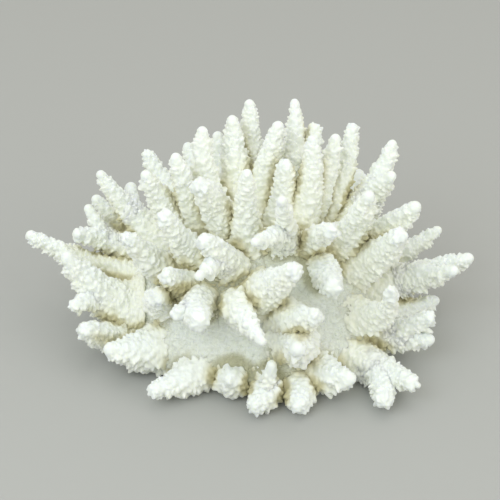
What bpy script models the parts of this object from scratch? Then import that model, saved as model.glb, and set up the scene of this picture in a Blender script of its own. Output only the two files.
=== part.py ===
"""Stony coral: a white, dried colony of knobbly fingers that spread from one low fused base.

The colony stands on a flat cut, +Z up, with the origin at the middle of that cut and -Y towards
the front. Every finger is placed by three plain things, as seen from the heart of the base: the
compass bearing (0 at the back, 90 at the right, 180 at the front), the lift above the horizontal,
and the reach out to the finger's tip. A finger leaves the base along its root direction and bends
over to its tip, so a tip that is lifted more than its root makes a finger that curves upwards.
"""

import math
import random
from typing import NamedTuple

import bpy
import numpy as np
from mathutils import Vector

MM = 0.001

# Driving dimensions of the fused base
BASE_RADIUS = 49 * MM
BASE_RISE = 36 * MM
HEART = Vector((0, 0, 10 * MM))
BASE_SECTORS = 22
BASE_RINGS = 7
BASE_SWELL = 0.045

# Driving dimensions of a finger: its stalk, and the cups that stand out of the stalk
NOSE = 2.0
TAPER = 0.95
SPRING = 0.5
CUP_PEAK = 2.2 * MM
CUP_VALLEY = 0.5 * MM
CUP_LEAN = 1.4 * MM
CUP_STEP = 7.2 * MM
SMOOTH_TIP = 5 * MM
SIDES = 8
TWIG_SIDES = 6
SLIMMEST = 0.15

# How neighbours meet
GAP = 0.8 * MM
FLOOR_GAP = 0.4 * MM
SAMPLES = 24

CORAL_WHITE = (0.90, 0.90, 0.84, 1)
CORAL_CREAM = (0.84, 0.82, 0.70, 1)
CORAL_ROUGHNESS = 0.75
SHARP = math.radians(40)


class Twig(NamedTuple):
    """A side finger, fused to the limb at a share of the limb's own length.

    Girth and nose are its radii at the root and at the tip, in mm."""

    fork: float
    tip: tuple
    girth: float
    nose: float = NOSE


class Limb(NamedTuple):
    """A finger: root is (compass, lift) and tip is (compass, lift, reach in mm).

    Girth and nose are its radii at the root and at the tip, in mm. A taper of 1 makes a straight
    cone, and more makes it slender along the tip's half. Spring is how far it runs straight out
    of the base before it bends, as a share of its length."""

    root: tuple
    tip: tuple
    girth: float
    twigs: tuple = ()
    nose: float = NOSE
    taper: float = TAPER
    spring: float = SPRING


# Fingers that lie out along the surface the colony stands on
SKIRT = [
    Limb((110, 2), (112, 4, 86), 7.3, (Twig(0.35, (112, 13, 86), 6.8, 3.2),), 2.2),
    Limb((126, -4), (132, 3, 92), 9.3, (Twig(0.25, (141, -1, 88), 7.6, 4.2),), 2.8),
    Limb((150, 1), (145, 5, 75), 7.6, nose=2.4),
    Limb((160, -4), (165, -2, 72), 7.8, nose=3.2),
    Limb((174, -4), (181, -1, 70), 7.6, (Twig(0.15, (173, 14, 63), 4.6),), 3.0),
    Limb((190, -2), (190, 6.5, 60), 7.3, nose=4.0),
    Limb((210, -2), (217, 0, 76), 8.8, nose=2.6),
    Limb((235, 1), (238, 6, 78), 9.6, nose=2.4),
    Limb((254, -3), (245, 10, 84), 8.8, nose=3.8),
    Limb((306, -2), (308, 6, 86), 8.4),
    Limb((330, -2), (331, 4, 84), 8.4),
    Limb((355, -2), (354, 7, 86), 8.4),
    Limb((18, -2), (20, 4, 84), 8.4),
    Limb((44, -2), (46, 6, 88), 8.4),
    Limb((90, -2), (85, 1, 86), 7.8),
]

# Fingers that rise gently from the flanks of the base
LOWER = [
    Limb((276, 14), (274, 20, 110), 8.2, nose=2.1, taper=1.15),
    Limb((262, 7), (261, 25, 94), 12.6, (Twig(0.40, (252, 13, 87), 5.8, 3.2),), 2.4, spring=0.35),
    Limb((290, 20), (273, 26, 90), 9.2, (Twig(0.55, (284, 30, 91), 4.4),), 2.8),
    Limb((296, 20), (294, 27, 92), 7.8),
    Limb((350, 18), (352, 26, 86), 8.2),
    Limb((38, 20), (40, 27, 88), 8.4, nose=4.6),
    Limb((70, 10), (71, 16, 96), 7.6, taper=1.15),
    Limb((84, 10), (89, 16, 103), 9.2, (Twig(0.35, (99, 19, 96), 7.6),), 2.2),
    Limb((119, 14), (131, 30.5, 88), 8.2, nose=2.8, taper=1.6),
    Limb((160, 18), (166, 21, 76), 9.0, nose=2.4),
    Limb((191, 37), (177, 24, 80), 6.8, nose=1.7),
    Limb((215, 34), (200, 28, 75), 7.2, (Twig(0.38, (212, 29, 73), 5.4, 3.0),), 4.4),
    Limb((238, 24), (224, 32, 68), 6.4, nose=4.0),
]

# Fingers half way up
MIDDLE = [
    Limb((290, 32), (290, 38, 96), 8.2, (Twig(0.50, (302, 35, 82), 5.4, 2.4),), 2.0, 1.2),
    Limb((316, 32), (315, 38, 91), 8.8, nose=2.8),
    Limb((333, 34), (332, 39, 88), 8.2),
    Limb((343, 44), (342, 49, 86), 7.6),
    Limb((60, 46), (50, 53, 97), 8.4, nose=2.6),
    Limb((68, 36), (64, 46, 101), 9.6, (Twig(0.45, (79, 46, 91), 7.6),), 1.4, 0.7),
    Limb((92, 44), (107, 54, 88), 8.4, nose=2.3),
    Limb((82, 32), (95, 40, 94), 9.2, nose=2.4),
    Limb((96, 30), (111, 40, 88), 9.4, nose=3.4),
    Limb((119, 45), (146, 37, 74), 8.6, nose=4.2, spring=0.25),
    Limb((161, 28), (158, 31, 81), 7.6, nose=2.6),
    Limb((174, 43), (163, 45, 86), 9.0, nose=3.4),
    Limb((229, 38), (220, 40, 76), 6.8, nose=2.6),
    Limb((252, 36), (247, 42.5, 82), 7.4, nose=3.2, spring=0.35),
    Limb((240, 52), (238, 55.5, 82), 7.6, nose=3.2, spring=0.4),
    Limb((204, 56), (210, 55, 77), 7.8, (Twig(0.30, (205, 42, 77), 4.8, 1.8),), 3.2),
    Limb((276, 53), (267, 57, 89), 8.4),
    Limb((112, 59), (141, 53, 85), 6.6, nose=2.8, spring=0.4),
]

# Fingers that stand up from the top
CROWN = [
    Limb((270, 62), (272, 67, 89), 7.6),
    Limb((292, 66), (309, 71, 91), 9.2),
    Limb((340, 66), (342, 69, 91), 10.2),
    Limb((357, 58), (357, 63, 97), 8.8, (Twig(0.45, (5, 51, 79), 5.6, 2.6),)),
    Limb((10, 72), (27, 74, 90), 8.8, nose=2.4),
    Limb((36, 60), (23, 62, 99), 8.8, nose=1.6),
    Limb((44, 54), (35, 58, 90), 7.8, nose=2.8),
    Limb((74, 64), (68, 72, 89), 9.6, nose=2.6),
    Limb((64, 58), (59, 62, 91), 8.4),
    Limb((60, 74), (60, 78, 76), 7.6, nose=3.4),
    Limb((200, 76), (190, 78, 86), 9.4, taper=1.5),
    Limb((252, 75), (231, 68.5, 85), 9.4, nose=3.6),
    Limb((130, 67), (163, 65, 89), 9.0, (Twig(0.30, (181, 55, 79), 5.2, 1.8),), 2.2, 2.2, 0.3),
]

TIERS = {"crown": CROWN, "middle": MIDDLE, "lower": LOWER, "skirt": SKIRT}


def clear_scene():
    for obj in list(bpy.data.objects):
        bpy.data.objects.remove(obj)


def towards(compass, lift):
    """The unit direction of a compass bearing and a lift, both in degrees."""
    around, up = math.radians(compass), math.radians(lift)
    return Vector((math.sin(around) * math.cos(up), math.cos(around) * math.cos(up), math.sin(up)))


def base_reach(compass, lift):
    """How far the base's surface is from the heart.

    It is an ellipse of BASE_RADIUS and BASE_RISE, with shallow swellings around its flanks."""
    turn, up = math.radians(compass), math.radians(lift)
    swell = BASE_SWELL * math.cos(up) * (math.sin(3 * turn + 0.6) + 0.6 * math.sin(7 * turn + 3 * up))
    return (1 + swell) / math.hypot(math.cos(up) / BASE_RADIUS, math.sin(up) / BASE_RISE)


def outside_base(point):
    """The point itself, or else the point straight out from the heart that clears the base."""
    out = point - HEART
    compass = math.degrees(math.atan2(out.x, out.y))
    lift = math.degrees(math.asin(out.z / out.length))
    return HEART + out.normalized() * max(out.length, base_reach(compass, lift) + GAP)


def coral_material(name, colour):
    material = bpy.data.materials.new(name)
    material.use_nodes = True
    surface = material.node_tree.nodes["Principled BSDF"]
    surface.inputs["Base Color"].default_value = colour
    surface.inputs["Roughness"].default_value = CORAL_ROUGHNESS
    surface.inputs["Metallic"].default_value = 0
    material.diffuse_color = colour
    return material


def new_object(name, points, faces, colour):
    """A mesh object placed by its first point, so that a finger's origin is at its own root."""
    place = points[0]
    mesh = bpy.data.meshes.new(name)
    mesh.from_pydata([point - place for point in points], [], faces)
    mesh.shade_smooth()
    mesh.set_sharp_from_angle(angle=SHARP)
    mesh.materials.append(coral_material(name, colour))
    obj = bpy.data.objects.new(name, mesh)
    obj.location = place
    bpy.context.scene.collection.objects.link(obj)
    return obj


def closed_tube(rings, sides):
    """Faces for a first point, rings of points that turn clockwise seen from the far end, and a
    last point: a fan, then quads, then a fan."""
    faces = []
    last = 1 + (rings - 1) * sides
    for side in range(sides):
        beside = (side + 1) % sides
        faces.append((0, 1 + side, 1 + beside))
        faces.append((last + sides, last + beside, last + side))
        for first in range(1, last, sides):
            low, high = first, first + sides
            faces.append((low + side, high + side, high + beside, low + beside))
    return faces


def make_base():
    """The fused base: a low dome, cut off flat at the bottom."""
    cut_lift = -math.degrees(math.asin(HEART.z / BASE_RADIUS))
    points = [Vector((0, 0, 0))]
    for ring in range(BASE_RINGS):
        lift = cut_lift + (90 - cut_lift) * ring / BASE_RINGS
        for sector in range(BASE_SECTORS):
            compass = 360 * sector / BASE_SECTORS
            point = HEART + towards(compass, lift) * base_reach(compass, lift)
            if ring == 0:
                point.z = 0
            points.append(point)
    points.append(HEART + Vector((0, 0, BASE_RISE)))
    return new_object("base", points, closed_tube(BASE_RINGS, BASE_SECTORS), CORAL_CREAM)


class Stalk(NamedTuple):
    """The middle line of a finger, as a quadratic curve from start towards bend to end."""

    start: Vector
    bend: Vector
    end: Vector
    shape: NamedTuple
    taper: float
    sides: int

    def at(self, share):
        rest = 1 - share
        return self.start * rest**2 + self.bend * (2 * share * rest) + self.end * share**2

    def along(self, share):
        return ((self.bend - self.start) * (1 - share) + (self.end - self.bend) * share).normalized()

    def radius(self, share):
        nose, girth = self.shape.nose * MM, self.shape.girth * MM
        return nose + (girth - nose) * (1 - share) ** self.taper

    def length(self):
        return (self.end - self.start).length


def tip_of(tip):
    return HEART + towards(*tip[:2]) * (tip[2] * MM)


def limb_stalk(limb):
    """A limb leaves the base's surface along its root direction."""
    out = towards(*limb.root)
    start = HEART + out * (base_reach(*limb.root) + GAP)
    end = tip_of(limb.tip)
    bend = start + out * (limb.spring * (end - start).length)
    return Stalk(start, bend, end, limb, limb.taper, SIDES)


def twig_stalk(stalk, twig):
    """A twig leaves its limb's middle line along that line."""
    start, end = stalk.at(twig.fork), tip_of(twig.tip)
    bend = start + stalk.along(twig.fork) * (0.3 * (end - start).length)
    return Stalk(start, bend, end, twig, TAPER, TWIG_SIDES)


class Crowd:
    """The middle lines of the other fingers, as points with the radius that each one wants."""

    def __init__(self, stalks):
        shares = np.linspace(0, 1, SAMPLES)
        self.points = np.array([stalk.at(share) for stalk in stalks for share in shares])
        self.wants = np.array([stalk.radius(share) + CUP_PEAK / 2
                               for stalk in stalks for share in shares])

    def make_room(self, point, centre, want):
        """Pulls a point towards its own middle line, to its side of each plane half way to the
        crowd. Half way is in proportion to how wide the two fingers want to be."""
        apart = self.points - np.array(centre)
        distance = np.linalg.norm(apart, axis=1)
        half_way = distance * want / (want + self.wants) - GAP / 2
        reach = apart @ np.array(point - centre) / distance
        facing = reach > half_way
        if not facing.any():
            return point
        return centre + (point - centre) * max(SLIMMEST, (half_way[facing] / reach[facing]).min())


def finger_points(stalk, crowd, seed):
    """Rings of points square to the stalk, with its cups fused on as peaks and valleys.

    Every second point is a cup's peak, which leans towards the tip; the tip is a smooth dome."""
    length = stalk.length()
    chance = random.Random(seed)
    steps = max(3, round((length - SMOOTH_TIP) / CUP_STEP))
    sideways = (stalk.end - stalk.start).cross(stalk.bend - stalk.start)
    if sideways.length < 1e-9:
        sideways = (stalk.end - stalk.start).orthogonal()
    points = [outside_base(stalk.start)]
    for step in range(steps + 2):
        share = min(step / steps * (1 - SMOOTH_TIP / length), 1 - SMOOTH_TIP / length)
        dome = step == steps + 1
        if dome:
            share = 1 - 0.6 * stalk.shape.nose * MM / length
        centre, along, radius = stalk.at(share), stalk.along(share), stalk.radius(share)
        across = sideways.cross(along).normalized()
        over = across.cross(along)
        for side in range(stalk.sides):
            turn = 2 * math.pi * side / stalk.sides
            radial = across * math.cos(turn) + over * math.sin(turn)
            size = chance.uniform(0.75, 1.25) * (0.35 if step == steps else 1)
            if dome:
                point = centre + radial * (0.85 * radius)
            elif (side + step) % 2:
                point = centre + radial * (radius + CUP_VALLEY * size)
            else:
                point = centre + radial * (radius + CUP_PEAK * size) + along * (CUP_LEAN * size)
            point = crowd.make_room(point, centre, radius + CUP_PEAK / 2)
            point = outside_base(point)
            point.z = max(point.z, FLOOR_GAP)
            points.append(point)
    points.append(stalk.end)
    return points, closed_tube(steps + 2, stalk.sides)


def make_limb(name, stalks, others):
    """A finger with its twigs fused on, in the room that the other fingers leave it."""
    crowd = Crowd(others)
    body = None
    for number, stalk in enumerate(stalks):
        points, faces = finger_points(stalk, crowd, f"{name} {number}")
        shape = new_object(name if body is None else f"{name}_twig", points, faces, CORAL_WHITE)
        if body is None:
            body = shape
            continue
        shape.hide_render = True
        shape.display_type = "WIRE"
        fuse = body.modifiers.new("twig", "BOOLEAN")
        fuse.operation = "UNION"
        fuse.object = shape
    return body


def main():
    clear_scene()
    colony = bpy.data.objects.new("colony", None)
    bpy.context.scene.collection.objects.link(colony)
    make_base().parent = colony
    stalks = {}
    for tier, limbs in TIERS.items():
        for limb in limbs:
            stalk = limb_stalk(limb)
            name = f"{tier}_finger_{limb.tip[0]:03d}"
            stalks[name] = [stalk] + [twig_stalk(stalk, twig) for twig in limb.twigs]
    for name, own in stalks.items():
        others = [stalk for other, group in stalks.items() if other != name for stalk in group]
        make_limb(name, own, others).parent = colony


main()
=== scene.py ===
# %% [markdown]
# # A bleached stony coral, from the load of the frame to the last light
#
# A branching stony coral is a crowd of small animals that build one skeleton. Each animal sits in
# a cup of limestone, and a finger of coral is a stalk with a cup at its end and hundreds of cups
# around its sides. This colony was bleached and dried, so the skeleton is all that is left: white
# where it is smooth, and cream where cups stand close and keep the light.
#
# The frame holds the plain solids of the colony: one base and a node for every finger. The cells
# below grow the real surface around the same middle lines, so that each skin stands in the place
# of its own solid.

# %% Load the frame
import math
from typing import NamedTuple

import bpy
import numpy as np
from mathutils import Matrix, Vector


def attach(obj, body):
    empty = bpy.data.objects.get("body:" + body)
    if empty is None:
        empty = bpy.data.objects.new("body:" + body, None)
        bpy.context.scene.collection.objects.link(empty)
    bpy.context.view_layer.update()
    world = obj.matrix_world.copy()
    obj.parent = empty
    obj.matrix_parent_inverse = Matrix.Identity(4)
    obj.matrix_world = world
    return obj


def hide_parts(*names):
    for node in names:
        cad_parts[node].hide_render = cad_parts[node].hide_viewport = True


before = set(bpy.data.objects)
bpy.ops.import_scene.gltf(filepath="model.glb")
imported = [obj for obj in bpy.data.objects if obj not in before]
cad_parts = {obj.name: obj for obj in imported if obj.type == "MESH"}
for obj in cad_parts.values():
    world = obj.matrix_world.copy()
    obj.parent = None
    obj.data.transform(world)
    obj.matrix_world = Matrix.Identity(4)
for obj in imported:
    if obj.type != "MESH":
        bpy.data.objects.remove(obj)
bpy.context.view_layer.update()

MM = 0.001
print("nodes in the frame:", len(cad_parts))

# %% [markdown]
# ## The plan of the colony
#
# Every finger is placed as seen from the heart of the base: the compass bearing (0 at the back,
# 90 at the right, 180 at the front), the lift above the horizontal, and the reach to its tip.
# A colony could be grown by chance, but then no finger would be where it is on the real one.
# A plan of bearings puts each finger in its place, and chance is left for the small cups.

# %% The plan
NOSE = 2.0
TAPER = 0.95
SPRING = 0.5


class Twig(NamedTuple):
    """A side finger, fused to the limb at a share of the limb's own length.

    Girth and nose are its radii at the root and at the tip, in mm."""

    fork: float
    tip: tuple
    girth: float
    nose: float = NOSE
    taper: float = TAPER


class Limb(NamedTuple):
    """A finger: root is (compass, lift) and tip is (compass, lift, reach in mm).

    Girth and nose are its radii at the root and at the tip, in mm. A taper of 1 makes a straight
    cone, and more makes it slender along the tip's half. Spring is how far it runs straight out
    of the base before it bends, as a share of its length."""

    root: tuple
    tip: tuple
    girth: float
    twigs: tuple = ()
    nose: float = NOSE
    taper: float = TAPER
    spring: float = SPRING


# Fingers that lie out along the surface the colony stands on
SKIRT = [
    Limb((110, 2), (112, 4, 86), 7.3, (Twig(0.35, (112, 13, 86), 6.8, 3.2),), 2.2),
    Limb((126, -4), (132, 3, 92), 9.3, (Twig(0.25, (141, -1, 88), 7.6, 4.2),), 2.8),
    Limb((150, 1), (145, 5, 75), 7.6, nose=2.4),
    Limb((160, -4), (165, -2, 72), 7.8, nose=3.2),
    Limb((174, -4), (181, -1, 70), 7.6, (Twig(0.15, (173, 14, 63), 4.6),), 3.0),
    Limb((190, -2), (190, 6.5, 60), 7.3, nose=4.0),
    Limb((210, -2), (217, 0, 76), 8.8, nose=2.6),
    Limb((235, 1), (238, 6, 78), 9.6, nose=2.4),
    Limb((254, -3), (245, 10, 84), 8.8, nose=3.8),
    Limb((306, -2), (308, 6, 86), 8.4),
    Limb((330, -2), (331, 4, 84), 8.4),
    Limb((355, -2), (354, 7, 86), 8.4),
    Limb((18, -2), (20, 4, 84), 8.4),
    Limb((44, -2), (46, 6, 88), 8.4),
    Limb((90, -2), (85, 1, 86), 7.8),
]

# Fingers that rise gently from the flanks of the base
LOWER = [
    Limb((276, 14), (274, 20, 110), 8.2, nose=2.1, taper=1.15),
    Limb((262, 7), (261, 25, 94), 12.6, (Twig(0.40, (252, 13, 87), 5.8, 3.2),), 2.4, spring=0.35),
    Limb((290, 20), (273, 26, 90), 9.2, (Twig(0.55, (284, 30, 91), 4.4),), 2.8),
    Limb((296, 20), (294, 27, 92), 7.8),
    Limb((350, 18), (352, 26, 86), 8.2),
    Limb((38, 20), (40, 27, 88), 8.4, nose=4.6),
    Limb((70, 10), (71, 16, 96), 7.6, taper=1.15),
    Limb((84, 10), (89, 16, 103), 9.2, (Twig(0.35, (99, 19, 96), 7.6),), 2.2),
    Limb((119, 14), (131, 30.5, 88), 8.2, nose=2.8, taper=1.6),
    Limb((160, 18), (166, 21, 76), 9.0, nose=2.4),
    Limb((191, 37), (177, 24, 80), 6.8, nose=1.7),
    Limb((215, 34), (200, 28, 75), 7.2, (Twig(0.38, (212, 29, 73), 5.4, 3.0),), 4.4),
    Limb((238, 24), (224, 32, 68), 6.4, nose=4.0),
]

# Fingers half way up
MIDDLE = [
    Limb((290, 32), (290, 38, 96), 8.2, (Twig(0.50, (302, 35, 82), 5.4, 2.4),), 2.0, 1.2),
    Limb((316, 32), (315, 38, 91), 8.8, nose=2.8),
    Limb((333, 34), (332, 39, 88), 8.2),
    Limb((343, 44), (342, 49, 86), 7.6),
    Limb((60, 46), (50, 53, 97), 8.4, nose=2.6),
    Limb((68, 36), (64, 46, 101), 9.6, (Twig(0.45, (79, 46, 91), 7.6),), 1.4, 0.7),
    Limb((92, 44), (107, 54, 88), 8.4, nose=2.3),
    Limb((82, 32), (95, 40, 94), 9.2, nose=2.4),
    Limb((96, 30), (111, 40, 88), 9.4, nose=3.4),
    Limb((119, 45), (146, 37, 74), 8.6, nose=4.2, spring=0.25),
    Limb((161, 28), (158, 31, 81), 7.6, nose=2.6),
    Limb((174, 43), (163, 45, 86), 9.0, nose=3.4),
    Limb((229, 38), (220, 40, 76), 6.8, nose=2.6),
    Limb((252, 36), (247, 42.5, 82), 7.4, nose=3.2, spring=0.35),
    Limb((240, 52), (238, 55.5, 82), 7.6, nose=3.2, spring=0.4),
    Limb((204, 56), (210, 55, 77), 7.8, (Twig(0.30, (205, 42, 77), 4.8, 1.8),), 3.2),
    Limb((276, 53), (267, 57, 89), 8.4),
    Limb((112, 59), (141, 53, 85), 6.6, nose=2.8, spring=0.4),
]

# Fingers that stand up from the top
CROWN = [
    Limb((270, 62), (272, 67, 89), 7.6),
    Limb((292, 66), (309, 71, 91), 9.2),
    Limb((340, 66), (342, 69, 91), 10.2),
    Limb((357, 58), (357, 63, 97), 8.8, (Twig(0.45, (5, 51, 79), 5.6, 2.6),)),
    Limb((10, 72), (27, 74, 90), 8.8, nose=2.4),
    Limb((36, 60), (23, 62, 99), 8.8, nose=1.6),
    Limb((44, 54), (35, 58, 90), 7.8, nose=2.8),
    Limb((74, 64), (68, 72, 89), 9.6, nose=2.6),
    Limb((64, 58), (59, 62, 91), 8.4),
    Limb((60, 74), (60, 78, 76), 7.6, nose=3.4),
    Limb((200, 76), (190, 78, 86), 9.4, taper=1.5),
    Limb((252, 75), (231, 68.5, 85), 9.4, nose=3.6),
    Limb((130, 67), (163, 65, 89), 9.0, (Twig(0.30, (181, 55, 79), 5.2, 1.8),), 2.2, 2.2, 0.3),
]

TIERS = {"crown": CROWN, "middle": MIDDLE, "lower": LOWER, "skirt": SKIRT}
LIMBS = {f"{tier}_finger_{limb.tip[0]:03d}": limb for tier, limbs in TIERS.items() for limb in limbs}
print("fingers:", len(LIMBS), "twigs:", sum(len(limb.twigs) for limb in LIMBS.values()))
print("fingers without a node:", sorted(set(LIMBS) ^ (set(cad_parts) - {"base"})))

# %% [markdown]
# ## The heart, the base and the middle lines
#
# The base is a low dome about the heart. A finger leaves it along its root direction and bends
# over to its tip. A quadratic curve does that with three points: where it starts, a bend that
# lies straight out from the start, and where it ends. Before the start the same line runs on
# straight, down into the base, so that the skin of a finger has a root to be fused by.
#
# Around that line a finger is a slim cone. Its end is a smooth dome, or where the nose is broad
# it is frayed: squarer, and covered in cups.

# %% Directions, the base's reach and the middle line of a finger
BASE_RADIUS = 49 * MM
BASE_RISE = 36 * MM
HEART = np.array((0, 0, 10 * MM))
BASE_SWELL = 0.045
BASE_GAP = 0.8 * MM
TWIG_LEAN = 0.3
FRAYED_NOSE = 2.5 * MM
ROUND_DOME, SQUARE_DOME = 0.9, 0.55
UNDER_CUPS = 0.8 * MM
UNDER_FRAY = 1.4 * UNDER_CUPS
BARE_TIP = 1.5 * MM
YOUNG_RUN = 6 * MM


def towards(compass, lift):
    """Unit directions of compass bearings and lifts in degrees: (sin a cos b, cos a cos b, sin b)."""
    turn, up = np.radians(compass), np.radians(lift)
    return np.stack((np.sin(turn) * np.cos(up), np.cos(turn) * np.cos(up), np.sin(up) + 0 * turn), -1)


def base_reach(compass, lift):
    """Distance of the dome from the heart: an ellipse with shallow swellings around its flanks."""
    turn, up = np.radians(compass), np.radians(lift)
    swell = BASE_SWELL * np.cos(up) * (np.sin(3 * turn + 0.6) + 0.6 * np.sin(7 * turn + 3 * up))
    return (1 + swell) / np.hypot(np.cos(up) / BASE_RADIUS, np.sin(up) / BASE_RISE)


def dot(a, b):
    return np.einsum("...i,...i->...", a, b)


def unit(vectors):
    return vectors / np.linalg.norm(vectors, axis=-1, keepdims=True)


def ease_in(x, low, high):
    """0 below low, 1 above high, and a smooth step 3t^2 - 2t^3 between."""
    t = np.clip((x - low) / (high - low), 0, 1)
    return t * t * (3 - 2 * t)


class Stalk:
    """A finger's middle line: start, bend and end of a quadratic curve, run on straight below 0."""

    def __init__(self, start, bend, end, shape):
        self.start, self.bend, self.end = start, bend, end
        self.girth, self.nose, self.taper = shape.girth * MM, shape.nose * MM, shape.taper
        self.length = np.linalg.norm(end - start)
        self.frayed = self.nose >= FRAYED_NOSE
        self.dome = 1 - self.nose / (2 * np.linalg.norm(end - bend))
        side = np.cross(end - start, bend - start)
        if np.linalg.norm(side) < 1e-9:
            side = np.cross(end - start, (0.3, 0.2, 0.9))
        self.sideways = unit(side)

    def at(self, share):
        """Points at shares of the length: the curve's three weights, or the straight run below 0."""
        t = np.asarray(share)[..., None]
        up = np.clip(t, 0, None)
        curve = self.start * (1 - up) ** 2 + self.bend * (2 * up * (1 - up)) + self.end * up**2
        return curve + np.clip(t, None, 0) * 2 * (self.bend - self.start)

    def along(self, share):
        up = np.clip(np.asarray(share), 0, 1)[..., None]
        return unit((self.bend - self.start) * (1 - up) + (self.end - self.bend) * up)

    def slope(self, share):
        """0 along the shaft, and from the dome on a rise to a quarter turn at the pole."""
        return np.arcsin(np.clip((share - self.dome) / (1 - self.dome), 0, 1))

    def radius(self, share):
        """The nose's radius plus a part of the rest: (distance from the tip) ** taper; less what
        the cups stand proud; then a dome, which is squarer where the end is frayed."""
        rest = 1 - np.clip(share, 0, 1)
        shaft = self.nose + (self.girth - self.nose) * rest**self.taper
        if self.frayed:
            return (shaft - UNDER_FRAY) * np.cos(self.slope(share)) ** SQUARE_DOME
        cupped = ease_in(rest * self.length, BARE_TIP, BARE_TIP + YOUNG_RUN)
        return (shaft - UNDER_CUPS * cupped) * np.cos(self.slope(share)) ** ROUND_DOME

    def radial(self, share, turn):
        """Unit vectors that stand square on the line, turned about it by the angle turn."""
        along = self.along(share)
        across = np.cross(self.sideways, along)
        return across * np.cos(turn)[..., None] + self.sideways * np.sin(turn)[..., None]

    def outward(self, share, turn, lean=0.0):
        """The radial vectors, leaned to the tip by an angle, and by more over the dome."""
        tilt = np.maximum(self.slope(share), lean)[..., None]
        return self.radial(share, turn) * np.cos(tilt) + self.along(share) * np.sin(tilt)


def tip_of(tip):
    return HEART + towards(*tip[:2]) * tip[2] * MM


def limb_stalks(limb):
    """The middle lines of a limb and of its twigs."""
    out = towards(*limb.root)
    start, end = HEART + out * (base_reach(*limb.root) + BASE_GAP), tip_of(limb.tip)
    stalks = [Stalk(start, start + out * limb.spring * np.linalg.norm(end - start), end, limb)]
    for twig in limb.twigs:
        fork, tip = stalks[0].at(twig.fork), tip_of(twig.tip)
        lean = stalks[0].along(twig.fork) * TWIG_LEAN * np.linalg.norm(tip - fork)
        stalks.append(Stalk(fork, fork + lean, tip, twig))
    return stalks


STALKS = {name: limb_stalks(limb) for name, limb in LIMBS.items()}
lengths = np.array([stalks[0].length for stalks in STALKS.values()]) / MM
print(f"finger lengths: {lengths.min():.0f} to {lengths.max():.0f} mm")

# %% [markdown]
# ## How deep a place lies in the crowd
#
# Dust and dried tissue stay where a brush and bleach do not reach: between fingers that stand close, and
# near the base. Some of the colour there is their cream, but most of it is painted shade: a darker olive
# where the crowd keeps the light off. A renderer could measure that with rays, but then the colour would be
# lost when the model is exported. Here each finger is a row of beads along its middle line, and a place is
# as deep as the beads and the base around it are near.

# %% Beads along the middle lines, and the depth of a place
BEADS_PER_STALK = 10
LAST_BEAD = 0.9
NEAR_BEAD, BEAD_WEIGHT = 4.5 * MM, 0.55
NEAR_BASE, BASE_WEIGHT = 7 * MM, 0.8
NO_FINGER = -1
ALL_STALKS = [stalk for stalks in STALKS.values() for stalk in stalks]
bead_shares = np.linspace(0, 1, BEADS_PER_STALK)
BEADS = np.concatenate([stalk.at(bead_shares) for stalk in ALL_STALKS])
BEAD_RADII = np.concatenate([stalk.radius(LAST_BEAD * bead_shares) for stalk in ALL_STALKS])
BEAD_OWNERS = np.repeat([owner for owner, stalks in enumerate(STALKS.values()) for _ in stalks],
                        BEADS_PER_STALK)


def gaps_to(points, centres):
    """Distances from each point to each centre, from |p|^2 + |c|^2 - 2 p.c in one product."""
    square = (points**2).sum(1)[:, None] + (centres**2).sum(1) - 2 * points @ centres.T
    return np.sqrt(np.clip(square, 0, None))


# The depth sets the share of painted shade in the colour, with a little cream of residue in it.
def depth_in_crowd(points, owner):
    """1 - exp(-sum of bells): a bell of the gap to each bead of the other fingers, and to the base.

    Owner is the finger's number, so that it does not crowd itself, or NO_FINGER on the base."""
    flat = points.reshape(-1, 3)
    others = BEAD_OWNERS != owner
    gap = np.clip(gaps_to(flat, BEADS[others]) - BEAD_RADII[others], 0, None)
    total = BEAD_WEIGHT * np.exp(-((gap / NEAR_BEAD) ** 2)).sum(1)
    if owner != NO_FINGER:
        out = flat - HEART
        reach = np.linalg.norm(out, axis=1)
        compass = np.degrees(np.arctan2(out[:, 0], out[:, 1]))
        lift = np.degrees(np.arcsin(out[:, 2] / reach))
        above_base = np.clip(reach - base_reach(compass, lift), 0, None)
        total = total + BASE_WEIGHT * np.exp(-((above_base / NEAR_BASE) ** 2))
    return (1 - np.exp(-total)).reshape(points.shape[:-1])


over_heart = np.array([[0, 0, 50 * MM]])
print("beads:", len(BEADS), "depth over the heart:", depth_in_crowd(over_heart, NO_FINGER).round(2))

# %% [markdown]
# ## Putting a surface into a mesh
#
# A surface worked out on a grid is a block of points with rows and columns. Four neighbours in
# the block make a face. Joining the last column to the first closes the tube, and one more point
# at an end closes the pole. The whole arrays go into the mesh at once, which is many times
# faster than adding points one by one.

# %% Faces of a closed tube, and the mesh itself
def tube_faces(rows, sides):
    """Quads and triangles of a closed tube of rows by sides points.

    Its points are its first pole, its rows from start to end, and its last pole."""
    row, side = np.meshgrid(np.arange(rows - 1), np.arange(sides), indexing="ij")
    beside = (side + 1) % sides
    low, low_next = 1 + row * sides + side, 1 + row * sides + beside
    quads = np.stack((low, low_next, low_next + sides, low + sides), -1)
    rim, rim_next = np.arange(sides), (np.arange(sides) + 1) % sides
    last_row, last_pole = 1 + (rows - 1) * sides, 1 + rows * sides
    bottom = np.stack((0 * rim, 1 + rim_next, 1 + rim), -1)
    top = np.stack((0 * rim + last_pole, last_row + rim, last_row + rim_next), -1)
    return quads.reshape(-1, 4), np.concatenate((bottom, top))


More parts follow.
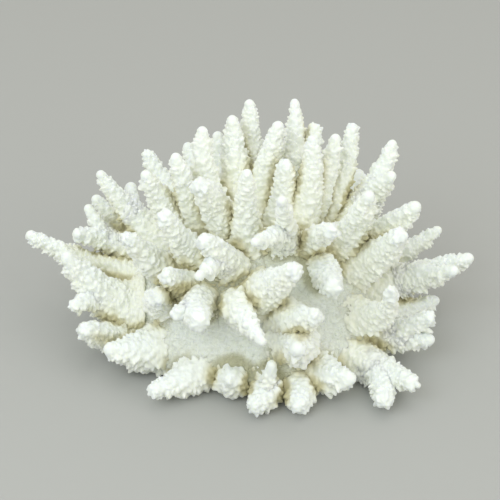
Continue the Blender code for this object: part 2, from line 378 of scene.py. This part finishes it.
class Skin:
    """Collects tubes of points with values at each point, and makes one smooth mesh of them."""

    def __init__(self):
        self.points, self.quads, self.tris, self.values, self.size = [], [], [], [], 0

    def add(self, tube, rows, sides, **values):
        quads, tris = tube_faces(rows, sides)
        self.points.append(tube)
        self.quads.append(quads + self.size)
        self.tris.append(tris + self.size)
        self.values.append(values)
        self.size += len(tube)

    def make(self, name, material, lowest):
        """The mesh object, with no point below lowest, and its number of triangles."""
        points, quads, tris = (np.concatenate(x) for x in (self.points, self.quads, self.tris))
        points[:, 2] = np.maximum(points[:, 2], lowest)
        mesh = bpy.data.meshes.new(name)
        mesh.vertices.add(len(points))
        mesh.vertices.foreach_set("co", points.astype(np.float32).ravel())
        corners = np.concatenate((quads.ravel(), tris.ravel()))
        mesh.loops.add(len(corners))
        mesh.loops.foreach_set("vertex_index", corners.astype(np.int32))
        mesh.polygons.add(len(quads) + len(tris))
        starts = np.concatenate((np.arange(len(quads)) * 4, quads.size + np.arange(len(tris)) * 3))
        mesh.polygons.foreach_set("loop_start", starts.astype(np.int32))
        for value in self.values[0]:
            numbers = np.concatenate([values[value] for values in self.values])
            layer = mesh.attributes.new(value, "FLOAT", "POINT")
            layer.data.foreach_set("value", numbers.astype(np.float32))
        mesh.update(calc_edges=True)
        mesh.shade_smooth()
        mesh.materials.append(material)
        piece = bpy.data.objects.new(name, mesh)
        bpy.context.scene.collection.objects.link(piece)
        return piece, 2 * len(quads) + len(tris)


quads, tris = tube_faces(5, 8)
print("a small test tube has", len(quads), "quads and", len(tris), "triangles")

# %% [markdown]
# ## Lumps that follow a rule
#
# Nothing on a coral is quite round. A noise that is smooth over a chosen size moves the surface
# in and out: chance numbers stand at the corners of a grid of boxes, and a point between them
# takes a blend of its eight corners. It gives the same lumps on every run, because the number
# at a corner is worked out from the corner's own place.

# %% Smooth noise
def corner_chance(corner, seed):
    """A number from -1 to 1 for each whole-number corner: the fraction of a large sine."""
    wave = np.sin(dot(corner, np.array((127.1, 311.7, 74.7))) + seed * 43.3) * 43758.5
    return 2 * (wave - np.floor(wave)) - 1


def lumps(points, size, seed=0):
    """Noise from -1 to 1 that changes over lengths of size: a smooth blend of 8 box corners."""
    place = points / size
    corner = np.floor(place)
    ease = place - corner
    ease = ease * ease * (3 - 2 * ease)
    total = 0
    for dx in (0, 1):
        for dy in (0, 1):
            for dz in (0, 1):
                pick = np.array((dx, dy, dz))
                weight = np.prod(np.where(pick, ease, 1 - ease), -1)
                total = total + weight * corner_chance(corner + pick, seed)
    return total


print("noise at three places:", lumps(np.array([[0, 0, 0], [0.5, 0, 0], [3.3, 1.2, 4.5]]), 1.0).round(2))

# %% [markdown]
# ## Where the cups stand
#
# The cups stand around a finger in a spiral, as leaves do on a stem. Spacing them by equal areas
# and turning each by the golden angle packs them evenly on a cone, with no rows that catch the
# eye. A little chance in the place, the width and the height of each takes the machine look away.
# The cups come in two sizes, single ones and clumps that carry them. They are young and low near
# a smooth tip, and they stand out most on a finger's underside.

# %% The spiral of cups
GOLDEN = math.radians(137.508)
ALONG_CHANCE = 0.4
TURN_CHANCE = 0.16
YOUNG_HEIGHT, YOUNG_RADIUS = 0.2, 0.6
FRAYED_YOUTH = 0.8
FRAYED_END, FRAYED_RUN = 0.7, 4 * MM
TALL_SHARE, TALL_BY = 0.07, 1.4
AREA_STEPS = 200


class Order(NamedTuple):
    """A size of cup: the area each one has to itself in mm2, its height and its radius in mm."""

    area: float
    height: float
    radius: float


CLUMPS = Order(area=11, height=1.3, radius=1.8)
CUPS = Order(area=3.6, height=1.4, radius=0.9)


class Cups(NamedTuple):
    """The cups of one finger: their feet on the stalk, their heights and their radii."""

    foot: np.ndarray
    height: np.ndarray
    radius: np.ndarray


def place_cups(stalk, order, rng):
    """Cup k stands where the stalk's area from the root is k cells, turned k golden angles.

    Its height and radius are the order's, times a chance, and less where the cup is young."""
    share = np.linspace(-0.05, 1, AREA_STEPS)
    strip = 2 * np.pi * (stalk.radius(share) + 0.6 * MM) * stalk.length * (share[1] - share[0])
    area = np.concatenate(([0], np.cumsum(strip[:-1])))
    count = int(area[-1] / (order.area * MM**2))
    where = np.interp((np.arange(count) + 0.5) * order.area * MM**2, area, share)
    where = where + rng.normal(0, ALONG_CHANCE * order.radius * MM, count) / stalk.length
    where = np.minimum(where, 1)
    turn = np.arange(count) * GOLDEN + rng.uniform(0, 2 * np.pi) + rng.normal(0, TURN_CHANCE, count)
    chance = rng.uniform(0, 1, (3, count))
    to_tip = (1 - where) * stalk.length
    youth = FRAYED_YOUTH if stalk.frayed else ease_in(to_tip, BARE_TIP, BARE_TIP + YOUNG_RUN)
    hanging = 0.85 + 0.6 * np.clip(0.2 - stalk.radial(where, turn)[:, 2], 0, 1)
    height = order.height * MM * (0.5 + 0.8 * chance[0]) * hanging
    height = height * (YOUNG_HEIGHT + (1 - YOUNG_HEIGHT) * youth)
    height = height * np.where(chance[1] > 1 - TALL_SHARE, TALL_BY, 1)
    if stalk.frayed:
        height = height * (FRAYED_END + (1 - FRAYED_END) * ease_in(to_tip, 0, FRAYED_RUN))
    else:
        height = height * (to_tip > BARE_TIP)
    radius = order.radius * MM * (YOUNG_RADIUS + (1 - YOUNG_RADIUS) * youth) * (0.75 + 0.5 * chance[2])
    foot = stalk.at(where) + stalk.radial(where, turn) * stalk.radius(where)[:, None]
    return Cups(foot, height, radius)


first_stalk = ALL_STALKS[0]
for order in (CLUMPS, CUPS):
    few = place_cups(first_stalk, order, np.random.default_rng(0))
    print("on the first finger:", len(few.foot), "of", order)

# %% [markdown]
# ## The skin of a finger
#
# The skin is a profile carried along the middle line: a circle, whose radius shrinks to the tip,
# swells with low lumps, and flares where the finger is fused to the base. Each cup pushes the
# skin out and towards the tip, in a bell that falls off with the distance from its foot. Where
# bells of one size meet, the highest one wins, so the cups are fused at their feet as they are on
# the real skeleton, and the bells of the two sizes are added. Separate little cups could be stuck
# on, and would be crisper, but they would look like pebbles in glue.
#
# Three values go into the mesh with the points, and the material turns them into colour: how high on a cup a
# point is, which keeps the rims white and paints shade in the valleys; how near a cool white tip it is, with
# a painted highlight on the upward faces; and how deep it lies in the crowd, which paints shade there.

# %% The skin
ROOT_RUN = 1.5 * MM
RING_STEP = 0.45 * MM
SIDE_STEP = 0.5 * MM
DOME_RINGS = 7
FLARE, FLARE_RUN = 3.4 * MM, 11 * MM
LEAN = math.radians(28)
BELL_POWER = 2.5
WOBBLE, WOBBLE_SIZE = 0.3 * MM, 1.2 * MM
LOW_LUMPS, LOW_LUMP_SIZE = 0.6 * MM, 5 * MM
FINE_LUMPS, FINE_LUMP_SIZE = 0.12 * MM, 1.0 * MM
CALM_TIP, CALM_RUN = 0.15, (1 * MM, 9 * MM)
COOL_TIP, COOL_TIP_RUN = 0.6, (1 * MM, 9 * MM)
# A painted highlight: cool white on the upward faces of a finger's outer half, and the run over which it
# fades.
TOP_HIGHLIGHT, TOP_HIGHLIGHT_RUN = 0.7, (8 * MM, 40 * MM)
FLOOR_GAP = 0.3 * MM
PROBE = 3 * MM


def bells(points, cups):
    """The highest bell at each point: height * exp(-(distance / radius) ** power)."""
    apart = gaps_to(points.reshape(-1, 3), cups.foot) / cups.radius
    bell = cups.height * np.exp(-(apart**BELL_POWER))
    return bell.max(axis=1).reshape(points.shape[:-1])


def with_poles(first, values, last):
    """The values of a tube's points, with those of its first and last pole."""
    return np.concatenate(([first], values.ravel(), [last]))


def cool_tip_and_highlight(to_tip, outward):
    """The larger of two: a tip's own cool white, and a fainter painted highlight on the upward faces of the
    outer half.
    """
    # The second term is painted highlight, strongest where the surface faces up to the light.
    facing_up = np.clip(0.35 + 0.9 * outward[..., 2], 0, 1)
    return np.maximum(COOL_TIP * (1 - ease_in(to_tip, *COOL_TIP_RUN)),
                      TOP_HIGHLIGHT * (1 - ease_in(to_tip, *TOP_HIGHLIGHT_RUN)) * facing_up)


def grow_finger(skin, stalk, rng, seed, rooted, owner):
    """Adds one finger: rings of a circle of radius(share) + flare + lumps, pushed out by bells."""
    run = ROOT_RUN / stalk.length if rooted else 0
    rings = int((stalk.dome + run) * stalk.length / RING_STEP)
    angle = np.linspace(0, 1.5, DOME_RINGS + 1)[1:]
    cap = stalk.dome + (1 - stalk.dome) * np.sin(angle)
    share = np.concatenate((np.linspace(-run, stalk.dome, rings), cap))
    sides = int(2 * np.pi * (0.7 * stalk.girth + 1 * MM) / SIDE_STEP)
    turn = np.linspace(0, 2 * np.pi, sides, endpoint=False)
    share, turn = np.meshgrid(share, turn, indexing="ij")
    outward = stalk.outward(share, turn)
    surface = stalk.at(share) + stalk.radial(share, turn) * stalk.radius(share)[..., None]
    clumps, cups = place_cups(stalk, CLUMPS, rng), place_cups(stalk, CUPS, rng)
    wobble = WOBBLE * np.stack([lumps(surface, WOBBLE_SIZE, seed + k) for k in (2, 3, 4)], -1)
    bell = bells(surface + 2 * wobble, clumps) + bells(surface + wobble, cups)
    to_tip = (1 - share) * stalk.length
    relief = LOW_LUMPS * lumps(surface, LOW_LUMP_SIZE, seed)
    relief = relief + FINE_LUMPS * lumps(surface, FINE_LUMP_SIZE, seed + 1)
    if rooted:
        relief = relief + FLARE * np.exp(-np.clip(share, 0, None) * stalk.length / FLARE_RUN)
    relief = relief * (CALM_TIP + (1 - CALM_TIP) * ease_in(to_tip, *CALM_RUN))
    surface = surface + outward * relief[..., None]
    surface = surface + stalk.outward(share, turn, LEAN) * bell[..., None]
    tube = np.concatenate((stalk.at([-run]), surface.reshape(-1, 3), surface[-1].mean(0, keepdims=True)))
    deep = depth_in_crowd(surface + outward * PROBE, owner)
    on_cup = np.clip(bell / ((CUPS.height + CLUMPS.height) * MM), 0, 1)
    # cup leaves painted shade in the valleys between cups; tip is the cool tip and the painted top
    # highlight, faded where shade is painted; deep is the share of painted shade.
    skin.add(tube, rings + DOME_RINGS, sides,
             cup=with_poles(0, on_cup, 1),
             tip=with_poles(0, cool_tip_and_highlight(to_tip, outward) * (1 - deep), 0.9),
             deep=with_poles(1, deep, 0))
    return len(clumps.foot) + len(cups.foot)


print(f"a flare of {FLARE / MM:.1f} mm at a root, and a mesh step of {RING_STEP / MM:.2f} mm")

# %% [markdown]
# ## Colours and finish
#
# Bleached coral is not one white. Smooth tips are a cool, almost blue white, and on the upward faces of a
# finger's outer half a cool white is painted as highlight. The rims of the cups are white, and the valleys
# between them are cream: painted warm shade for the light that is caught there, with chance blotches of
# cream tone. Deep in the crowd the colour goes to a dull olive, which is painted shade with a little cream
# of residue. Two effects serve both the fingers and the base, so each is a group that is built once: a tint
# that goes from painted olive shade in the crowd to white rims, and a fine grain for the bump. Some light
# enters the skeleton and comes out beside its way in, which softens the shadows between the cups.

# %% Groups of nodes for the tint and the grain
def new_group(name, inputs, outputs):
    """An empty group of nodes with named sockets: {name: (kind, value)} in, {name: kind} out."""
    group = bpy.data.node_groups.new(name, "ShaderNodeTree")
    for socket, (kind, value) in inputs.items():
        made = group.interface.new_socket(socket, in_out="INPUT", socket_type=kind)
        made.default_value = value
    for socket, kind in outputs.items():
        group.interface.new_socket(socket, in_out="OUTPUT", socket_type=kind)
    return group, group.nodes.new("NodeGroupInput"), group.nodes.new("NodeGroupOutput")


def wire(tree, kind, settings=None, **inputs):
    """Adds a node and feeds its inputs, each by a value or by another node's output.

    An input is given by its name, or as i0, i1 and so on by its place."""
    node = tree.nodes.new(kind)
    for name, value in (settings or {}).items():
        setattr(node, name, value)
    for name, value in inputs.items():
        socket = node.inputs[int(name[1:])] if name[0] == "i" and name[1:].isdigit() else node.inputs[name]
        if isinstance(value, bpy.types.NodeSocket):
            tree.links.new(value, socket)
        else:
            socket.default_value = value
    return node


def mix_colour(tree, factor, a, b):
    """A Mix node for colours, whose inputs 6 and 7 are its two colours."""
    return wire(tree, "ShaderNodeMix", {"data_type": "RGBA"}, i0=factor, i6=a, i7=b).outputs[2]


def scale_and_add(tree, value, factor, rest, clamp=False):
    """A Math node for value * factor + rest, held within 0 and 1 if clamped."""
    settings = {"operation": "MULTIPLY_ADD", "use_clamp": clamp}
    return wire(tree, "ShaderNodeMath", settings, i0=value, i1=factor, i2=rest).outputs[0]


def speckle(tree, where, size, detail=2.0):
    """Noise over the object's own coordinates, with lumps of about size."""
    node = wire(tree, "ShaderNodeTexNoise", Vector=where, Scale=1 / size, Detail=detail)
    return node.outputs["Fac"]


BLOTCH_SIZE = 14 * MM
# Shares of the valley colour: painted shade off the rims and by depth in the crowd, and a start; then the
# depths over which the painted olive shade comes in.
RIM_TO_VALLEY_SHADE, DEPTH_TO_VALLEY_SHADE, VALLEY_START = -0.35, 1.1, -0.30
CROWD_SHADE_FROM, CROWD_SHADE_TO = 0.35, 0.95
COARSE_SIZE, FINE_SIZE = 1.3 * MM, 0.4 * MM


def tint_group():
    """White to Valley by blotches, and by painted shade from depth and off the rims; then Crowd_shade, a
    painted olive shade, by depth; and Cool, for tips and painted top highlights.
    """
    tree, ins, outs = new_group("coral tint", {
        "Where": ("NodeSocketVector", (0, 0, 0)), "Rim": ("NodeSocketFloat", 0.5),
        "Tip": ("NodeSocketFloat", 0.0), "Deep": ("NodeSocketFloat", 0.5),
        "White": ("NodeSocketColor", (0.9, 0.9, 0.85, 1)), "Valley": ("NodeSocketColor", (0.8, 0.8, 0.6, 1)),
        "Crowd_shade": ("NodeSocketColor", (0.8, 0.7, 0.4, 1)), "Cool": ("NodeSocketColor", (0.9, 0.9, 1, 1)),
    }, {"Colour": "NodeSocketColor"})
    blotch = speckle(tree, ins.outputs["Where"], BLOTCH_SIZE)
    # painted shade: the valley colour where a point is off the rims and deep in the crowd
    off_rim_shade = scale_and_add(tree, ins.outputs["Rim"], RIM_TO_VALLEY_SHADE, VALLEY_START)
    rim_and_crowd_shade = scale_and_add(tree, ins.outputs["Deep"], DEPTH_TO_VALLEY_SHADE, off_rim_shade)
    patch = scale_and_add(tree, blotch, 1.0, rim_and_crowd_shade, clamp=True)
    # painted shade: the darker olive deep in the crowd
    crowd_shade_share = wire(tree, "ShaderNodeMapRange", {"interpolation_type": "SMOOTHSTEP"}, Value=ins.outputs["Deep"])
    crowd_shade_share.inputs["From Min"].default_value = CROWD_SHADE_FROM
    crowd_shade_share.inputs["From Max"].default_value = CROWD_SHADE_TO
    body = mix_colour(tree, patch, ins.outputs["White"], ins.outputs["Valley"])
    body = mix_colour(tree, crowd_shade_share.outputs["Result"], body, ins.outputs["Crowd_shade"])
    tree.links.new(mix_colour(tree, ins.outputs["Tip"], body, ins.outputs["Cool"]), outs.inputs["Colour"])
    return tree


def grain_group():
    """A height of round cells and fine noise, each by its own share."""
    tree, ins, outs = new_group("coral grain", {
        "Where": ("NodeSocketVector", (0, 0, 0)), "Coarse": ("NodeSocketFloat", 0.5),
        "Fine": ("NodeSocketFloat", 0.5),
    }, {"Height": "NodeSocketFloat"})
    cells = wire(tree, "ShaderNodeTexVoronoi", {"feature": "SMOOTH_F1"}, Vector=ins.outputs["Where"],
                 Scale=1 / COARSE_SIZE, Smoothness=0.4)
    round_tops = scale_and_add(tree, cells.outputs["Distance"], -1.0, 1.0)
    coarse = scale_and_add(tree, round_tops, ins.outputs["Coarse"], 0.0)
    fine = speckle(tree, ins.outputs["Where"], FINE_SIZE, 1.0)
    height = scale_and_add(tree, fine, ins.outputs["Fine"], coarse)
    tree.links.new(height, outs.inputs["Height"])
    return tree


TINT, GRAIN = tint_group(), grain_group()
print("groups:", TINT.name, "and", GRAIN.name)

# %% Two finishes, for the fingers and for the base
BUMP_STRENGTH = 0.8
GLOW_SHARE, GLOW_REACH, GLOW_COLOUR = 0.55, 1.5 * MM, (1.0, 1.0, 0.8)


def coral_material(name, white, valley, crowd_shade, cool, roughness, coarse, fine, depth):
    """A matt skeleton: the tint group colours it, and the grain group makes its bump."""
    material = bpy.data.materials.new(name)
    material.use_nodes = True
    tree = material.node_tree
    surface = tree.nodes["Principled BSDF"]
    where = wire(tree, "ShaderNodeTexCoord").outputs["Object"]
    rim = wire(tree, "ShaderNodeAttribute", {"attribute_name": "cup"}).outputs["Fac"]
    tip = wire(tree, "ShaderNodeAttribute", {"attribute_name": "tip"}).outputs["Fac"]
    deep = wire(tree, "ShaderNodeAttribute", {"attribute_name": "deep"}).outputs["Fac"]
    tint = wire(tree, "ShaderNodeGroup", {"node_tree": TINT}, Where=where, Rim=rim, Tip=tip, Deep=deep)
    for socket, colour in (("White", white), ("Valley", valley), ("Crowd_shade", crowd_shade), ("Cool", cool)):
        tint.inputs[socket].default_value = (*colour, 1)
    grain = wire(tree, "ShaderNodeGroup", {"node_tree": GRAIN}, Where=where, Coarse=coarse, Fine=fine)
    bump = wire(tree, "ShaderNodeBump", Height=grain.outputs["Height"], Strength=BUMP_STRENGTH,
                Distance=depth)
    tree.links.new(tint.outputs["Colour"], surface.inputs["Base Color"])
    tree.links.new(bump.outputs["Normal"], surface.inputs["Normal"])
    surface.inputs["Roughness"].default_value = roughness
    surface.inputs["Specular IOR Level"].default_value = 0.3
    surface.inputs["Subsurface Weight"].default_value = GLOW_SHARE
    surface.inputs["Subsurface Radius"].default_value = GLOW_COLOUR
    surface.inputs["Subsurface Scale"].default_value = GLOW_REACH
    return material


# valley is cream tone and painted warm shade; crowd_shade is the painted olive shade deep in the crowd.
FINGER_FINISH = coral_material("bleached fingers", white=(0.84, 0.87, 0.80), valley=(0.82, 0.82, 0.66),
                               crowd_shade=(0.55, 0.52, 0.33), cool=(0.82, 0.88, 0.89), roughness=0.75,
                               coarse=0.2, fine=0.1, depth=0.4 * MM)
BASE_FINISH = coral_material("bleached base", white=(0.78, 0.82, 0.77), valley=(0.70, 0.72, 0.60),
                             crowd_shade=(0.46, 0.46, 0.32), cool=(0.83, 0.88, 0.89), roughness=0.8,
                             coarse=0.8, fine=0.3, depth=1.2 * MM)
print("finishes:", FINGER_FINISH.name, "and", BASE_FINISH.name)

# %% [markdown]
# ## All the fingers
#
# A finger's skin is the tube of its stalk and the tubes of its twigs, in one mesh. It rides on the
# colony's one body and stands for the finger's node. Each finger has a row of chance numbers of
# its own, so that a change to one of them leaves the others as they were.

# %% Grow the fingers
FIRST_SEED = 1000
cup_total = tri_total = 0
for number, (name, stalks) in enumerate(STALKS.items()):
    rng = np.random.default_rng(FIRST_SEED + number)
    skin = Skin()
    for place, stalk in enumerate(stalks):
        cup_total += grow_finger(skin, stalk, rng, 100 * number + 10 * place, place == 0, number)
    piece, tris = skin.make(f"{name}_skin", FINGER_FINISH, FLOOR_GAP)
    tri_total += tris
    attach(piece, "root")
    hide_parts(name)
print("cups:", cup_total, "triangles in the fingers:", tri_total)

# %% [markdown]
# ## The base
#
# Between the fingers the skeleton is smooth and finely granular, and it climbs a little way up
# each finger, so that the fingers seem to grow out of it. The base is therefore one surface over
# all directions from the heart: the dome's reach, plus a rounded swelling around every root and
# along some webs between roots, plus low lumps and small grains. The lowest ring lies on the flat
# cut. The grains are noise with its lower half folded up, which gives round tops and sharp creases.

# %% The base's surface
BASE_SECTORS = 600
BASE_RINGS = 150
TOP_RING = 88.5
ROOT_SWELL, ROOT_SPREAD = 9 * MM, 4.5 * MM
CROWN_SWELL, CROWN_LIFT = 0.2, (20, 50)
BASE_LUMPS, BASE_LUMP_SIZE = 1.0 * MM, 7 * MM
GRAIN_HEIGHT = 2.2 * MM
GRAIN_SIZES = (2.6 * MM, 1.5 * MM)
GRAIN_SHARES = (0.6, 0.4)
GRAIN_TO_RIM = 2.5
CUT_LIFT = -math.degrees(math.asin(HEART[2] / BASE_RADIUS))


class Web(NamedTuple):
    """A ridge between two (compass, lift) directions, with its half width and height in mm."""

    first: tuple
    second: tuple
    width: float
    height: float


WEBS = [
    Web((164, 0), (167, 30), 8.0, 7.0),
    Web((240, 4), (256, 14), 6.0, 4.0),
    Web((224, -2), (236, 16), 3.0, 3.0),
    Web((209, 2), (216, 18), 5.0, 3.0),
    Web((118, 10), (136, -4), 7.0, 5.0),
    Web((112, 48), (124, 22), 8.0, 5.0),
    Web((184, -6), (190, 30), 5.0, 2.5),
    Web((18, 2), (10, 40), 6.0, 4.0),
    Web((332, 2), (338, 36), 6.0, 4.0),
    Web((58, 6), (62, 36), 6.0, 4.0),
    Web((300, 4), (294, 30), 6.0, 4.0),
]


def web_swell(web, out, reach):
    """height * exp(-(distance / width) ** 2), by the distance to the line between the two ends."""
    a, b = towards(*web.first), towards(*web.second)
    place = np.clip(dot(out - a, b - a) / dot(b - a, b - a), 0, 1)[..., None]
    apart = np.linalg.norm(out - a - place * (b - a), axis=-1) * reach
    return web.height * MM * np.exp(-((apart / (web.width * MM)) ** 2))


def root_swell(stalk, out, lift, reach):
    """A bell around a finger's root, as wide as the root and its spread, and higher in the crown."""
    apart = np.arccos(np.clip(dot(out, unit(stalk.start - HEART)), -1, 1)) * reach
    bell = np.exp(-(apart / (stalk.girth + ROOT_SPREAD)) ** 2)
    return ROOT_SWELL * bell * (1 + CROWN_SWELL * ease_in(lift, *CROWN_LIFT))


def base_surface(compass, lift):
    """Points over directions: the dome, the highest of the swellings, the lumps and the grains."""
    out = towards(compass, lift)
    reach = base_reach(compass, lift)
    swell = np.zeros_like(reach)
    for web in WEBS:
        swell = np.maximum(swell, web_swell(web, out, reach))
    for stalks in STALKS.values():
        swell = np.maximum(swell, root_swell(stalks[0], out, lift, reach))
    points = HEART + out * reach[..., None]
    grains = sum(share * np.abs(lumps(points, size, seed))
                 for share, size, seed in zip(GRAIN_SHARES, GRAIN_SIZES, (6, 7)))
    relief = BASE_LUMPS * lumps(points, BASE_LUMP_SIZE, 5) + GRAIN_HEIGHT * grains
    surface = HEART + out * (reach + swell + relief)[..., None]
    # rim is high on the grain tops, so the creases between grains take the valley colour as painted shade;
    # deep paints shade near the finger roots.
    rim = np.clip(GRAIN_TO_RIM * grains, 0, 1)
    return surface, rim, depth_in_crowd(surface + out * PROBE, NO_FINGER)


def grow_base(skin):
    """Adds the base: rings from the cut to the top, with the cut's centre as the first pole."""
    lift = np.linspace(CUT_LIFT, TOP_RING, BASE_RINGS)
    compass = np.linspace(360, 0, BASE_SECTORS, endpoint=False)
    lift, compass = np.meshgrid(lift, compass, indexing="ij")
    surface, rim, deep = base_surface(compass, lift)
    surface[0, :, 2] = 0
    top = surface[-1].mean(axis=0)
    tube = np.concatenate(([(0, 0, 0)], surface.reshape(-1, 3), [top]))
    skin.add(tube, BASE_RINGS, BASE_SECTORS, cup=with_poles(0.5, rim, 0.5),
             tip=np.zeros(len(tube)), deep=with_poles(0.5, deep, 1))


base_skin = Skin()
grow_base(base_skin)
base, base_tris = base_skin.make("base_skin", BASE_FINISH, 0)
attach(base, "root")
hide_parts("base")
print("triangles in the base:", base_tris)

# %% [markdown]
# ## Floor, light and camera
#
# A white thing on a pale floor shows by its shading alone, so the floor is a shade darker than
# the coral. One broad light stands high at the front left, as in a studio tent, and the pale
# world fills the rest. The main light is a little cool and the world a little warm, so what faces
# the light looks bluer than what is turned away. The camera looks down at the front of the colony
# through a long lens.

# %% Floor
FLOOR_SIZE = 6.0
FLOOR_GREY = (0.42, 0.43, 0.42, 1)
floor_mesh = bpy.data.meshes.new("floor")
half = FLOOR_SIZE / 2
floor_mesh.from_pydata([(-half, -half, 0), (half, -half, 0), (half, half, 0), (-half, half, 0)], [],
                       [(0, 1, 2, 3)])
floor = bpy.data.objects.new("floor", floor_mesh)
bpy.context.scene.collection.objects.link(floor)
floor_finish = bpy.data.materials.new("pale floor")
floor_finish.use_nodes = True
paper = floor_finish.node_tree.nodes["Principled BSDF"]
paper.inputs["Base Color"].default_value = FLOOR_GREY
paper.inputs["Roughness"].default_value = 0.9
floor_mesh.materials.append(floor_finish)
print("floor:", FLOOR_SIZE, "m wide")

# %% Lights
LAMP_SIZE = 0.9
LIT_PLACE = Vector((0, 0, 0.04))
WORLD_COLOUR, WORLD_STRENGTH = (1, 0.985, 0.92, 1), 0.8


def soft_light(name, place, power, colour):
    """A square lamp that faces the middle of the colony."""
    lamp = bpy.data.lights.new(name, "AREA")
    lamp.shape, lamp.size, lamp.energy, lamp.color = "SQUARE", LAMP_SIZE, power, colour
    light = bpy.data.objects.new(name, lamp)
    light.location = place
    light.rotation_euler = (Vector(place) - LIT_PLACE).to_track_quat("Z", "Y").to_euler()
    bpy.context.scene.collection.objects.link(light)


soft_light("high front left", (-0.55, -0.8, 0.85), 6.2, (0.90, 0.96, 1.0))
soft_light("front right fill", (0.9, -0.7, 0.5), 3.1, (1.0, 0.98, 0.93))
soft_light("above", (0.1, 0.1, 1.3), 1.6, (1, 1, 0.97))
world = bpy.data.worlds.new("studio")
world.use_nodes = True
background = world.node_tree.nodes["Background"]
background.inputs["Color"].default_value = WORLD_COLOUR
background.inputs["Strength"].default_value = WORLD_STRENGTH
bpy.context.scene.world = world
bpy.context.scene.view_settings.view_transform = "Standard"

# %% Camera
CAMERA_TARGET = Vector((-2, 0, 43)) * MM
CAMERA_LIFT = math.radians(32)
CAMERA_DISTANCE = 0.75
LENS_MM, SENSOR_MM = 120, 36
camera = bpy.data.objects.new("camera", bpy.data.cameras.new("camera"))
to_camera = Vector((0, -math.cos(CAMERA_LIFT), math.sin(CAMERA_LIFT)))
camera.location = CAMERA_TARGET + CAMERA_DISTANCE * to_camera
camera.rotation_euler = (math.pi / 2 - CAMERA_LIFT, 0, 0)
camera.data.lens = LENS_MM
camera.data.sensor_width = SENSOR_MM
bpy.context.scene.collection.objects.link(camera)
bpy.context.scene.camera = camera
print("camera at", [round(x, 3) for x in camera.location])

# %% Finish
bpy.context.view_layer.update()
